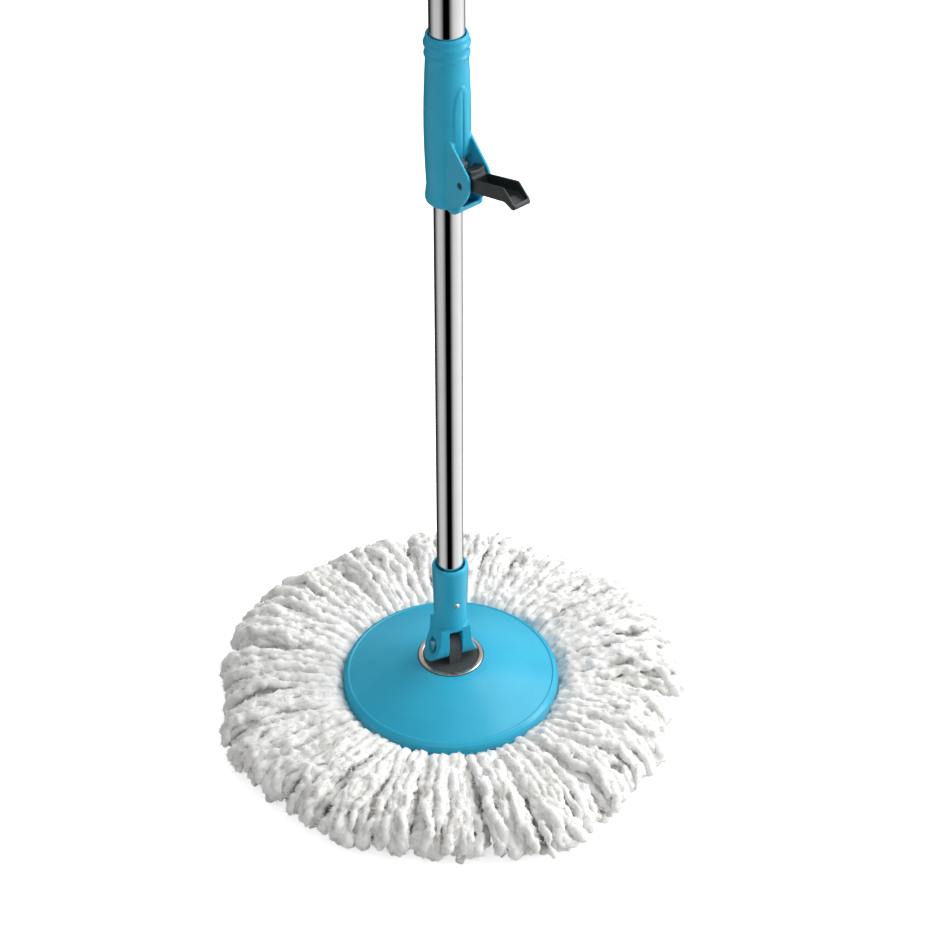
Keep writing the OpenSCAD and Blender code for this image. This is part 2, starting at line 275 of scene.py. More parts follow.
@dataclass(frozen=True)
class Moulded:
    """A moulded plastic with a little flow variation, handling marks and tool texture.

    A scale is that of a noise, so a higher one means finer marks.
    """

    name: str
    colour: Colour
    shade: Colour
    roughness: float
    shine: float = 0.5
    patch_scale: float = 28.0
    wear_scale: float = 160.0
    wear_swing: float = 0.14
    grain: float = 0.02
    grain_scale: float = 420.0
    grain_depth: float = 0.0004

    def material(self) -> bpy.types.Material:
        """Builds the plastic's material.

        Returns:
            The material.
        """
        material, graph, shader, place = fresh_material(self.name)
        patches = graph.remap(graph.noise(place, self.patch_scale, 2.0), NOISE_CORE, RISING)
        graph.feed(shader.inputs["Base Color"], graph.tint(patches, self.colour, self.shade))
        spread = (self.roughness * (1 - self.wear_swing), self.roughness * (1 + self.wear_swing))
        wear = graph.remap(graph.noise(place, self.wear_scale, 1.0), NOISE_BULK, spread)
        graph.feed(shader.inputs["Roughness"], wear)
        shader.inputs["IOR"].default_value = PLASTIC_IOR
        shader.inputs["Specular IOR Level"].default_value = self.shine
        if self.grain > 0:
            texture = graph.noise(place, self.grain_scale, 2.0)
            normal = graph.bump(texture, self.grain, self.grain_depth)
            graph.feed(shader.inputs["Normal"], normal)
        return material


@dataclass(frozen=True)
class Steel:
    """A metal turned or drawn about the pole's axis, with fine marks that follow it."""

    name: str
    colour: Colour
    roughness: float
    marks: float = 0.05
    mark_depth: float = 0.0001
    patch_scale: float = 60.0
    along_pole: bool = False

    def material(self) -> bpy.types.Material:
        """Builds the metal's material.

        Returns:
            The material.
        """
        material, graph, shader, place = fresh_material(self.name)
        stretch = DRAWN_MARKS if self.along_pole else TURNED_MARKS
        lines = graph.noise(graph.vector_math("MULTIPLY", place, stretch), 1.0)
        dull = graph.remap(lines, NOISE_BULK, (self.roughness * 0.8, self.roughness * 1.3))
        shade = tuple(channel * 0.9 for channel in self.colour)
        patches = graph.noise(place, self.patch_scale)
        graph.feed(shader.inputs["Base Color"], graph.tint(patches, self.colour, shade))
        graph.feed(shader.inputs["Roughness"], dull)
        shader.inputs["Metallic"].default_value = 1.0
        graph.feed(shader.inputs["Normal"], graph.bump(lines, self.marks, self.mark_depth))
        return material


@dataclass(frozen=True)
class Yarn:
    """Fluffy microfibre yarn: matt, with sheen at its edges, and shade painted into its grooves.

    The crown's share of the colour is the product of three factors: painted shade that follows the
    height in the twist, painted shade that follows the depth in the pile, and patches of a noise.
    """

    name: str = "microfibre_yarn"
    crown: Colour = (0.845, 0.845, 0.84)
    # The next colour is the grey of the painted shade in the twist's grooves and deep in the pile,
    # and of the darker noise patches.
    painted_shade_and_patch_grey: Colour = (0.73, 0.718, 0.675)
    ply_range: Span = (0.0, 0.55)
    ply_painted_shade: Span = (0.6, 1.0)
    depth_painted_shade: Span = (1.0, 0.7)
    patch_scale: float = 75.0
    patch_range: Span = (0.36, 0.58)
    patch_light: Span = (0.45, 1.0)
    fibre_scale: float = 850.0
    fibre_bump: float = 0.4
    fibre_depth: float = 0.0009

    def material(self) -> bpy.types.Material:
        """Builds the yarn's material.

        Returns:
            The material.
        """
        material, graph, shader, place = fresh_material(self.name)
        ply = graph.add("ShaderNodeAttribute", attribute_name="ply_height").outputs["Fac"]
        depth = graph.add("ShaderNodeAttribute", attribute_name="depth").outputs["Fac"]
        # Painted shade: greyer low in the twist's grooves and deeper in the pile.
        twist_painted_shade = graph.remap(ply, self.ply_range, self.ply_painted_shade)
        pile_painted_shade = graph.remap(depth, RISING, self.depth_painted_shade)
        patches = graph.noise(place, self.patch_scale)
        patch_light = graph.remap(patches, self.patch_range, self.patch_light)
        # The painted shade times the noise patches picks between the shaded grey and the crown's
        # colour.
        light = graph.math("MULTIPLY", graph.math("MULTIPLY", twist_painted_shade, pile_painted_shade), patch_light)
        graph.feed(shader.inputs["Base Color"], graph.tint(light, self.painted_shade_and_patch_grey, self.crown))
        shader.inputs["Roughness"].default_value = 0.95
        shader.inputs["Specular IOR Level"].default_value = 0.2
        shader.inputs["Sheen Weight"].default_value = 0.25
        shader.inputs["Sheen Roughness"].default_value = 0.6
        fibres = graph.noise(place, self.fibre_scale, 4.0)
        normal = graph.bump(fibres, self.fibre_bump, self.fibre_depth)
        graph.feed(shader.inputs["Normal"], normal)
        return material


@dataclass(frozen=True)
class Woven:
    """A plain woven tape, with its threads in rings."""

    name: str = "woven_tape"
    colour: Colour = (0.82, 0.82, 0.80)
    gap: Colour = (0.6, 0.6, 0.57)
    thread_scale: float = 260.0
    thread_wander: float = 1.5
    thread_bump: float = 0.5
    thread_depth: float = 0.0003

    def material(self) -> bpy.types.Material:
        """Builds the tape's material.

        Returns:
            The material.
        """
        material, graph, shader, place = fresh_material(self.name)
        inputs = {"Vector": place, "Scale": self.thread_scale, "Distortion": self.thread_wander}
        threads = graph.add("ShaderNodeTexWave", inputs, wave_type="RINGS").outputs["Fac"]
        graph.feed(shader.inputs["Base Color"], graph.tint(threads, self.gap, self.colour))
        shader.inputs["Roughness"].default_value = 0.9
        normal = graph.bump(threads, self.thread_bump, self.thread_depth)
        graph.feed(shader.inputs["Normal"], normal)
        return material


BLUE: Colour = (0.030, 0.385, 0.575)
BLUE_SHADE: Colour = (0.026, 0.362, 0.548)
FINISHES: dict[Slot, Moulded | Steel | Yarn | Woven] = {
    Slot.YARN: Yarn(),
    Slot.TAPE: Woven(),
    Slot.WHITE: Moulded("white_moulding", (0.86, 0.86, 0.84), (0.82, 0.82, 0.80), 0.42),
    Slot.BLUE: Moulded(
        "blue_moulding", BLUE, BLUE_SHADE, 0.24,
        shine=0.28, wear_scale=30.0, wear_swing=0.03, grain=0.0,
    ),
    Slot.GREY: Moulded("grey_moulding", (0.068, 0.074, 0.074), (0.058, 0.064, 0.065), 0.36),
    Slot.DARK: Moulded("charcoal_moulding", (0.024, 0.029, 0.029), (0.020, 0.024, 0.025), 0.40),
    Slot.GRIP: Moulded("grip_moulding", BLUE, BLUE_SHADE, 0.42, shine=0.3, grain=0.06),
    Slot.ZINC: Steel("zinc_plate", (0.84, 0.82, 0.78), 0.32),
    Slot.RING: Steel("pressed_ring", (0.56, 0.51, 0.46), 0.30),
    Slot.BLACKENED: Steel("blackened_pin", (0.07, 0.07, 0.08), 0.35),
    Slot.BRASS: Steel("machined_brass", (0.74, 0.56, 0.26), 0.25),
    Slot.TUBE: Steel("polished_tube", (0.86, 0.86, 0.86), 0.045, marks=0.012, along_pole=True),
}


def settle(obj: bpy.types.Object, name: str) -> bpy.types.Object:
    """Turns an object and its modifiers into one plain smooth mesh at the origin.

    Args:
        obj: The object to evaluate. It is removed.
        name: The new piece's name.

    Returns:
        The plain piece.
    """
    graph = bpy.context.evaluated_depsgraph_get()
    mesh = bpy.data.meshes.new_from_object(obj.evaluated_get(graph))
    source = obj.data
    bpy.data.objects.remove(obj)
    if source.users == 0 and isinstance(source, bpy.types.Mesh):
        bpy.data.meshes.remove(source)
    mesh.name = name
    piece = bpy.data.objects.new(name, mesh)
    bpy.context.scene.collection.objects.link(piece)
    return piece


def dress(piece: bpy.types.Object, material: bpy.types.Material) -> None:
    """Gives a piece one material in place of any it has."""
    piece.data.materials.clear()
    piece.data.materials.append(material)


@dataclass
class Wardrobe:
    """The built materials, one for each slot of the record."""

    built: dict[Slot, bpy.types.Material] = field(default_factory=dict)

    def finish(self, slot: Slot) -> bpy.types.Material:
        """Builds a slot's material the first time it is asked for.

        Args:
            slot: The slot.

        Returns:
            Its material.
        """
        if slot not in self.built:
            self.built[slot] = FINISHES[slot].material()
        return self.built[slot]

    def dress_frame(self, frame: dict) -> None:
        """Gives every CAD node the material of its slot in the record.
        """
        for row in frame["record"]["subparts"]:
            node = frame["nodes"][row["node"]]
            for place in node.material_slots:
                place.material = self.finish(Slot(row["material_slot"]))


@dataclass
class SoftMoulding:
    """A moulded part whose CAD edges get the small radii that its tool leaves."""

    node: str
    body: Body
    slot: Slot
    voxel: float
    passes: int

    def build(self, frame: dict, wardrobe: Wardrobe) -> bpy.types.Object:
        """Makes the softened part and puts it in place of its CAD node.

        Args:
            wardrobe: The materials.

        Returns:
            The new piece.
        """
        source = frame["nodes"][self.node]
        mesh = source.data.copy()
        shape = bmesh.new()
        shape.from_mesh(mesh)
        bmesh.ops.remove_doubles(shape, verts=shape.verts, dist=WELD_DISTANCE)
        shape.to_mesh(mesh)
        shape.free()
        rough = bpy.data.objects.new(f"{self.node}_rough", mesh)
        bpy.context.scene.collection.objects.link(rough)
        remesh = rough.modifiers.new("even_faces", "REMESH")
        remesh.mode = "VOXEL"
        remesh.voxel_size = self.voxel
        remesh.use_smooth_shade = True
        soften = rough.modifiers.new("tool_radii", "SMOOTH")
        soften.factor = 0.5
        soften.iterations = self.passes
        piece = settle(rough, f"{self.node}_moulded")
        dress(piece, wardrobe.finish(self.slot))
        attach(piece, self.body.value)
        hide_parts(self.node)
        LOG.info("%s: %d faces", piece.name, len(piece.data.polygons))
        return piece


class Lay(Enum):
    """Where a strand lies in the pile, as a share of its height."""

    CROWN = 1.0
    UPPER = 0.86
    MIDDLE = 0.62
    FLOOR = 0.08


@dataclass(frozen=True)
class LayPlan:
    """How many strands of one lay a bunch has, and how thick they are."""

    lay: Lay
    count: int
    girth: float
    spread: float


@dataclass(frozen=True)
class SweptYarn:
    """Geometry Nodes that sweep a fluffy two-ply yarn along polylines and cover it with fibres.

    Lengths are in metres, and a scale is that of a noise. The polylines carry the point
    attributes thick, along, phase and depth. Fibres grow where the depth is low and the
    radius is high, and fade in over the two spans.
    """

    sides: int = 9
    ply_depth: float = 0.07
    ply_pitch: float = 0.0155
    fluff: float = 0.0037
    fluff_scale: float = 215.0
    lump: float = 0.0036
    lump_scale: float = 90.0
    fibre_density: float = 80000.0
    fibre_length: float = 0.0042
    shortest_fibre: float = 0.35
    fibre_girth: float = 0.00032
    fibre_lean: float = 0.9
    fibre_depth_span: Span = (0.25, 0.6)
    fibre_radius_span: Span = (0.084, 0.104)
    floor: float = 0.0003
    seed: int = 7

    def interface(self, tree: bpy.types.GeometryNodeTree) -> None:
        """Gives the tree its named inputs and its output.

        Args:
            tree: The new tree.
        """
        kinds = {
            "NodeSocketGeometry": ("Centrelines",),
            "NodeSocketFloat": (
                "Ply depth", "Ply pitch", "Fluff height", "Fluff scale", "Lump height",
                "Lump scale", "Fibre density", "Fibre length", "Fibre girth", "Floor",
            ),
            "NodeSocketInt": ("Sides", "Seed"),
            "NodeSocketMaterial": ("Finish",),
        }
        for kind, names in kinds.items():
            for name in names:
                tree.interface.new_socket(name, in_out="INPUT", socket_type=kind)
        tree.interface.new_socket("Yarn", in_out="OUTPUT", socket_type="NodeSocketGeometry")

    def surface(self, graph: Graph, given: bpy.types.NodeOutputs, place: Socket) -> Socket:
        """Sweeps the strands, and raises their plies, fluff and lumps.

        Args:
            graph: The tree's graph.
            given: The tree's inputs.
            place: The position field.

        Returns:
            The strands' geometry.
        """
        circle = {"Resolution": given["Sides"], "Radius": 1.0}
        ring = graph.add("GeometryNodeCurvePrimitiveCircle", circle).outputs["Curve"]
        index = graph.add("GeometryNodeInputIndex").outputs[0]
        angle = graph.math("MULTIPLY", index, graph.math("DIVIDE", TURN, given["Sides"]))
        lines = graph.add("GeometryNodeMeshToCurve", {"Mesh": given["Centrelines"]})
        swept = graph.add("GeometryNodeCurveToMesh", {
            "Curve": lines.outputs["Curve"],
            "Profile Curve": graph.store(ring, "around", angle),
            "Scale": graph.attribute("thick"),
            "Fill Caps": True,
        })
        turns = graph.math("MULTIPLY", graph.attribute("along"), TURN)
        twist = graph.math("DIVIDE", turns, given["Ply pitch"])
        phase = graph.math(
            "ADD",
            graph.math("MULTIPLY", graph.attribute("around"), 2.0),
            graph.math("ADD", twist, graph.attribute("phase")),
        )
        ply = graph.math("COSINE", phase)
        share = graph.math("MULTIPLY_ADD", ply, 0.5, 0.5)
        # The ply height is stored so that the yarn's material can paint shade into the twist's
        # grooves.
        stored = graph.store(swept.outputs["Mesh"], "ply_height", share)
        girth = graph.math("MULTIPLY", ply, graph.attribute("thick"))
        lobes = graph.math("MULTIPLY", girth, given["Ply depth"])

        def ripple(scale: str, height: str) -> Socket:
            """Gives a noise of a named size about zero, as a height."""
            waves = graph.noise(place, given[scale], 2.0)
            about_zero = graph.math("MULTIPLY_ADD", waves, 2.0, -1.0)
            return graph.math("MULTIPLY", about_zero, given[height])

        fluff = graph.math(
            "ADD", ripple("Fluff scale", "Fluff height"), ripple("Lump scale", "Lump height")
        )
        push = graph.add("ShaderNodeVectorMath", {
            0: graph.add("GeometryNodeInputNormal").outputs[0],
            "Scale": graph.math("ADD", lobes, fluff),
        }, operation="SCALE").outputs["Vector"]
        moved = graph.add("GeometryNodeSetPosition", {"Geometry": stored, "Offset": push})
        smooth = graph.add("GeometryNodeSetShadeSmooth", {"Geometry": moved.outputs["Geometry"]})
        return smooth.outputs["Geometry"]

    def fibres(
        self, graph: Graph, given: bpy.types.NodeOutputs, place: Socket, strands: Socket
    ) -> Socket:
        """Grows short fibres on the strands that show.

        Args:
            graph: The tree's graph.
            given: The tree's inputs.
            place: The position field.
            strands: The strands' geometry.

        Returns:
            The fibres, as instances of a thin spike.
        """
        level = graph.vector_math("MULTIPLY", place, (1.0, 1.0, 0.0))
        radius = graph.vector_math("LENGTH", level, output="Value")
        shown = graph.math(
            "MULTIPLY",
            graph.remap(graph.attribute("depth"), self.fibre_depth_span, FALLING),
            graph.remap(radius, self.fibre_radius_span, RISING),
        )
        sown = graph.add("GeometryNodeDistributePointsOnFaces", {
            "Mesh": strands,
            "Density": graph.math("MULTIPLY", given["Fibre density"], shown),
            "Seed": given["Seed"],
        }, distribute_method="RANDOM")
        spike = graph.add("GeometryNodeMeshCone", {
            "Vertices": 3, "Radius Top": 0.0, "Radius Bottom": 1.0, "Depth": 1.0,
        })
        tilt = graph.add("FunctionNodeRandomValue", {
            0: (-self.fibre_lean,) * 3, 1: (self.fibre_lean,) * 3, "Seed": given["Seed"],
        }, data_type="FLOAT_VECTOR").outputs[0]
        way = graph.vector_math("ADD", sown.outputs["Normal"], tilt)
        aim = graph.add("FunctionNodeAlignRotationToVector", {"Vector": way}, axis="Z")
        next_seed = graph.math("ADD", given["Seed"], 1.0)
        share = graph.add("FunctionNodeRandomValue", {
            2: self.shortest_fibre, 3: 1.0, "Seed": next_seed,
        }, data_type="FLOAT").outputs[1]
        size = graph.add("ShaderNodeCombineXYZ", {
            0: given["Fibre girth"],
            1: given["Fibre girth"],
            2: graph.math("MULTIPLY", share, given["Fibre length"]),
        })
        grown = graph.add("GeometryNodeInstanceOnPoints", {
            "Points": sown.outputs["Points"],
            "Instance": spike.outputs["Mesh"],
            "Rotation": aim.outputs["Rotation"],
            "Scale": size.outputs[0],
        })
        return grown.outputs["Instances"]

    def tree(self) -> bpy.types.GeometryNodeTree:
        """Builds the tree.

        Returns:
            The tree, with a named input for each size.
        """
        tree = bpy.data.node_groups.new("swept_yarn", "GeometryNodeTree")
        self.interface(tree)
        graph = Graph(tree)
        given = graph.add("NodeGroupInput").outputs
        place = graph.add("GeometryNodeInputPosition").outputs[0]
        strands = self.surface(graph, given, place)
        fibres = self.fibres(graph, given, place, strands)
        both = graph.add("GeometryNodeJoinGeometry")
        graph.feed(both.inputs[0], fibres)
        graph.feed(both.inputs[0], strands)
        real = graph.add("GeometryNodeRealizeInstances", {"Geometry": both.outputs["Geometry"]})
        split = graph.add("ShaderNodeSeparateXYZ", {0: place}).outputs
        height = graph.math("MAXIMUM", split["Z"], given["Floor"])
        pressed = graph.add("ShaderNodeCombineXYZ", {0: split["X"], 1: split["Y"], 2: height})
        laid = graph.add("GeometryNodeSetPosition", {
            "Geometry": real.outputs["Geometry"], "Position": pressed.outputs[0],
        })
        painted = graph.add("GeometryNodeSetMaterial", {
            "Geometry": laid.outputs["Geometry"], "Material": given["Finish"],
        })
        graph.add("NodeGroupOutput", {0: painted.outputs["Geometry"]})
        return tree

    def sweep(
        self, tree: bpy.types.GeometryNodeTree, lines: bpy.types.Mesh, name: str,
        finish: bpy.types.Material,
    ) -> bpy.types.Object:
        """Sweeps one group of strands into a plain mesh.

        Args:
            tree: The tree from tree().
            lines: The strands' centrelines.
            name: The new piece's name.
            finish: The yarn's material.

        Returns:
            The piece.
        """
        carrier = bpy.data.objects.new(f"{name}_lines", lines)
        bpy.context.scene.collection.objects.link(carrier)
        modifier = carrier.modifiers.new("swept_yarn", "NODES")
        modifier.node_group = tree
        values = {
            "Ply depth": self.ply_depth,
            "Ply pitch": self.ply_pitch,
            "Fluff height": self.fluff,
            "Fluff scale": self.fluff_scale,
            "Lump height": self.lump,
            "Lump scale": self.lump_scale,
            "Fibre density": self.fibre_density,
            "Fibre length": self.fibre_length,
            "Fibre girth": self.fibre_girth,
            "Floor": self.floor,
            "Sides": self.sides,
            "Seed": self.seed,
            "Finish": finish,
        }
        for item in tree.interface.items_tree:
            if item.item_type == "SOCKET" and item.in_out == "INPUT" and item.name in values:
                modifier[item.identifier] = values[item.name]
        return settle(carrier, name)


@dataclass(frozen=True)
class Clump:
    """A tuft that the strands near it lean to. Its lift is in millimetres."""

    azimuth: float
    reach: float
    swirl: float
    lift: float


@dataclass(frozen=True)
class Habit:
    """How a strand strays from the pile's outlines, and how its thickness runs.

    Lengths are in millimetres. A span is the two ends of an even draw, and a scatter is the
    standard deviation of a normal one. A wave is a share of the height and a span of periods.
    A lift is a span of turns along the strand and a span of heights.
    """

    height_span: Span = (-0.14, 0.14)
    highest: float = 1.02
    reach_scatter: float = 0.030
    fan_start: float = 84.0
    fan_width: float = 60.0
    root_scatter: float = 0.35
    root_gain: float = 2.2
    side_gain: float = 3.2
    lean_share: float = 0.38
    waves: tuple[tuple[float, Span], ...] = ((1.0, (46, 70)), (0.5, (22, 32)), (0.3, (11, 15)))
    wave_span: Span = (1.0, 2.6)
    hook_scatter: float = 5.0
    hook_start: float = 0.74
    girth_span: Span = (0.9, 1.12)
    rim_radius: float = 88.0
    rim_width: float = 9.0
    crown_bulge: float = 0.22
    other_bulge: float = 0.08
    swell: float = 0.07
    swell_turns: Span = (1.5, 3.0)
    pointed_share: float = 0.22
    point_girth: float = 0.42
    point_length: float = 42.0
    loop_bulge: float = 0.14
    loop_place: float = 7.0
    loop_width: float = 5.0
    cap_length: float = 1.05
    cap_least: float = 0.02
    lifts: tuple[tuple[Span, Span], ...] = (((1.6, 2.6), (0.4, 1.5)), ((5.0, 8.0), (0.2, 0.9)))
    lift_fade: int = 6
    rest_share: float = 1.14
    rest_gap: float = 1.1
    pitch_span: Span = (0.9, 1.12)


def swing_between(target: float, start: float) -> float:
    """Gives the shorter turn from one azimuth to another, in radians."""
    return (target - start + math.pi) % TURN - math.pi


@dataclass(frozen=True)
class Refill:
    """The mop refill: yarn strands that spread over the floor. Sizes are in millimetres."""

    bunches: int = 78
    bunch_span: Span = (-0.22, 0.22)
    strand_span: Span = (-0.5, 0.5)
    clumps: int = 33
    clump_span: Span = (-0.34, 0.34)
    clump_scatter: float = 0.022
    clump_lift: float = 1.9
    points: int = 60
    rounding_passes: int = 6
    outline_length: float = 118.0
    root_r: float = 73.0
    nominal_reach: float = 169.5
    tip_allowance: float = 5.5
    longest: float = 176.5
    reaches: tuple[float, ...] = (
        180, 190, 182, 172, 170, 180, 174, 174, 178, 178, 173, 175, 180, 172, 178, 168, 164, 174,
        176, 168, 164, 168, 167, 162, 168, 164, 170, 176, 173, 169, 170, 170, 167, 164, 172, 177,
    )
    sectors: int = 10
    seed: int = 31
    habit: Habit = Habit()
    plans: tuple[LayPlan, ...] = (
        LayPlan(Lay.CROWN, 1, 3.7, 0.3),
        LayPlan(Lay.UPPER, 5, 3.4, 1.1),
        LayPlan(Lay.MIDDLE, 3, 4.3, 1.0),
        LayPlan(Lay.FLOOR, 2, 3.6, 1.2),
    )
    top_line: tuple[Span, ...] = (
        (73, 17.5), (78, 19.0), (82, 22.5), (86, 28.0), (93, 31.5), (106, 33.5), (130, 34.0),
        (148, 33.0), (158, 30.5), (165, 26.0), (168.5, 19.5), (169.5, 12.5),
    )
    floor_line: tuple[Span, ...] = (
        (73, 15.5), (80, 11.0), (88, 6.5), (100, 4.2), (125, 3.8), (150, 3.8), (169.5, 3.8),
    )

    def reach(self, azimuth: float) -> float:
        """Gives how far the strands' tips lie from the pole's axis in one direction.

        Args:
            azimuth: The direction, in radians.

        Returns:
            The reach in millimetres.
        """
        steps = len(self.reaches)
        place = azimuth % TURN / TURN * steps
        return float(np.interp(place, np.arange(steps + 1), (*self.reaches, self.reaches[0])))

    def even(self, line: Sequence[Span]) -> np.ndarray:
        """Resamples an outline evenly by length and rounds its corners.

        Args:
            line: Radius and height of its corners.

        Returns:
            An array of points by 2.
        """
        corners = np.array(line, float)
        length = np.concatenate([[0], np.cumsum(np.hypot(*np.diff(corners, axis=0).T))])
        at = np.linspace(0, length[-1], self.points)
        even = np.stack([np.interp(at, length, corners[:, i]) for i in range(2)], 1)
        for _ in range(self.rounding_passes):
            even[1:-1] = (even[:-2] + 2 * even[1:-1] + even[2:]) / 4
        return even

    def stretch(self, rng: np.random.Generator, azimuth: float, clump: Clump) -> float:
        """Gives a strand's length as a share of the nominal one.

        Args:
            rng: The seeded random source.
            azimuth: The strand's direction at the rim.
            clump: The clump that it leans to.

        Returns:
            The share.
        """
        nominal = self.nominal_reach - self.root_r
        share = (self.reach(azimuth) - self.tip_allowance - self.root_r) / nominal
        drawn = share * (1 + clump.reach + rng.normal(0, self.habit.reach_scatter))
        return min(drawn, (self.longest - self.root_r) / nominal)

    def bearing(
        self, rng: np.random.Generator, plan: LayPlan, azimuth: float, clump: Clump,
        radius: np.ndarray, fan: np.ndarray, t: np.ndarray,
    ) -> np.ndarray:
        """Gives a strand's direction from the pole's axis at each of its points.

        Args:
            rng: The seeded random source.
            plan: The strand's lay.
            azimuth: The strand's direction at the rim.
            clump: The clump that it leans to.
            radius: Each point's distance from the axis.
            fan: How free each point is to stray, from 0 to 1.
            t: Each point's place along the strand, from 0 to 1.

        Returns:
            The directions, in radians.
        """
        habit = self.habit
        root = rng.normal(0, habit.root_scatter * plan.spread)
        start = azimuth + root / radius[0] * habit.root_gain
        own = rng.normal(0, plan.spread) * habit.side_gain
        swing = fan * habit.lean_share * swing_between(clump.azimuth, start) + fan * (own / radius)
        waves = np.zeros(self.points)
        periods = [rng.uniform(*span) for _, span in habit.waves]
        for (share, _), period in zip(habit.waves, periods, strict=True):
            phase = TURN * (radius - self.root_r) / period + rng.uniform(0, TURN)
            waves += share * np.sin(phase)
        waves *= rng.uniform(*habit.wave_span) * fan
        hooked = np.clip((t - habit.hook_start) / (1 - habit.hook_start), 0, 1) ** 2
        hook = rng.normal(0, habit.hook_scatter) * hooked
        return start + swing + clump.swirl * fan + (waves + hook) / radius

    def thickness(
        self, rng: np.random.Generator, plan: LayPlan, radius: np.ndarray, t: np.ndarray,
        stretch: float,
    ) -> np.ndarray:
        """Gives a strand's thickness at each of its points.

        Args:
            rng: The seeded random source.
            plan: The strand's lay.
            radius: Each point's distance from the axis.
            t: Each point's place along the strand, from 0 to 1.
            stretch: The strand's length as a share of the nominal one.

        Returns:
            The radii of its cross-section, in millimetres.
        """
        habit = self.habit
        girth = plan.girth * rng.uniform(*habit.girth_span)
        bulge = habit.crown_bulge if plan.lay is Lay.CROWN else habit.other_bulge
        rim = 1 + bulge * np.exp(-((radius - habit.rim_radius) / habit.rim_width) ** 2)
        phase = TURN * t * rng.uniform(*habit.swell_turns) + rng.uniform(0, TURN)
        thick = girth * rim * (1 + habit.swell * np.sin(phase))
        left = (1 - t) * self.outline_length * stretch
        if rng.random() < habit.pointed_share:
            thick *= np.clip(habit.point_girth + left / habit.point_length, 0, 1)
        else:
            loop = np.exp(-((left - habit.loop_place) / habit.loop_width) ** 2)
            thick *= 1 + habit.loop_bulge * loop
        cap = np.clip(left / (thick * habit.cap_length), 0, 1)
        thick *= np.sqrt(np.clip(1 - (1 - cap) ** 2, habit.cap_least, 1))
        return thick

    def strand(
        self, rng: np.random.Generator, plan: LayPlan, azimuth: float, clump: Clump,
        lines: tuple[np.ndarray, np.ndarray],
    ) -> Strand:
        """Lays one strand.

        Args:
            rng: The seeded random source.
            plan: The strand's lay.
            azimuth: The strand's direction at the rim, in radians.
            clump: The clump that the strand leans to.
            lines: The pile's top and floor outlines.

        Returns:
            The strand's points and their attributes, in metres.
        """
        habit = self.habit
        top, floor = lines
        stray = 0.0 if plan.lay is Lay.CROWN else rng.uniform(*habit.height_span)
        height = float(np.clip(plan.lay.value + stray, 0, habit.highest))
        path = floor + (top - floor) * height
        stretch = self.stretch(rng, azimuth, clump)
        radius = self.root_r + (path[:, 0] - self.root_r) * stretch
        t = np.linspace(0, 1, self.points)
        fan = np.clip((radius - habit.fan_start) / habit.fan_width, 0, 1)
        fan = fan * fan * (3 - 2 * fan)
        angle = self.bearing(rng, plan, azimuth, clump, radius, fan, t)
        thick = self.thickness(rng, plan, radius, t, stretch)
        lift = np.zeros(self.points)
        for turns, size in habit.lifts:
            phase = TURN * t * rng.uniform(*turns) + rng.uniform(0, TURN)
            lift += np.sin(phase) * rng.uniform(*size) * fan
        z = path[:, 1] + lift + clump.lift * fan * height * (1 - t ** habit.lift_fade)
        z = np.maximum(z, thick * habit.rest_share + habit.rest_gap)
        place = np.stack([radius * np.cos(angle), radius * np.sin(angle), z], 1) * MM
        steps = np.linalg.norm(np.diff(place, axis=0), axis=1)
        along = np.concatenate([[0], np.cumsum(steps)]) * rng.uniform(*habit.pitch_span)
        return {
            "place": place,
            "thick": thick * MM,
            "along": along,
            "phase": np.full(self.points, rng.uniform(0, TURN)),
            # The depth keeps fibres off low strands, and the yarn's material paints shade deep in
            # the pile with it.
            "depth": np.full(self.points, np.clip(1 - height, 0, 1)),
        }

    def strands(self) -> list[tuple[float, Strand]]:
        """Lays all the strands, bunch by bunch.

        Returns:
            Each strand's bunch direction at the rim, and the strand.
        """
        rng = np.random.default_rng(self.seed)
        lines = (self.even(self.top_line), self.even(self.floor_line))
        strays = rng.uniform(*self.clump_span, self.clumps)
        clumps = [
            Clump(
                float(azimuth),
                reach=float(rng.normal(0, self.clump_scatter)),
                swirl=float(rng.normal(0, self.clump_scatter)),
                lift=float(rng.normal(0, self.clump_lift)),
            )
            for azimuth in (np.arange(self.clumps) + strays) / self.clumps * TURN
        ]
        laid = []
        for i in range(self.bunches):
            bunch = (i + rng.uniform(*self.bunch_span)) / self.bunches * TURN
            for plan in self.plans:
                for _ in range(plan.count):
                    own = bunch
                    if plan.lay is not Lay.CROWN:
                        own = bunch + rng.uniform(*self.strand_span) / self.bunches * TURN
                    gaps = [abs(swing_between(clump.azimuth, own)) for clump in clumps]
                    near = clumps[int(np.argmin(gaps))]
                    laid.append((bunch, self.strand(rng, plan, own, near, lines)))
        return laid

    def centrelines(self, name: str, group: list[Strand]) -> bpy.types.Mesh:
        """Puts a group of strands in one mesh of edges.

        Args:
            name: The mesh's name.
            group: The strands.

        Returns:
            The mesh, with the strands' attributes on its points.
        """
        mesh = bpy.data.meshes.new(name)
        points = np.concatenate([strand["place"] for strand in group])
        starts = np.arange(len(points)).reshape(len(group), self.points)
        edges = np.stack([starts[:, :-1].ravel(), starts[:, 1:].ravel()], 1)
        mesh.from_pydata(points.tolist(), edges.tolist(), [])
        for key in ("thick", "along", "phase", "depth"):
            values = np.concatenate([strand[key] for strand in group]).astype(np.float32)
            mesh.attributes.new(key, "FLOAT", "POINT").data.foreach_set("value", values)
        return mesh

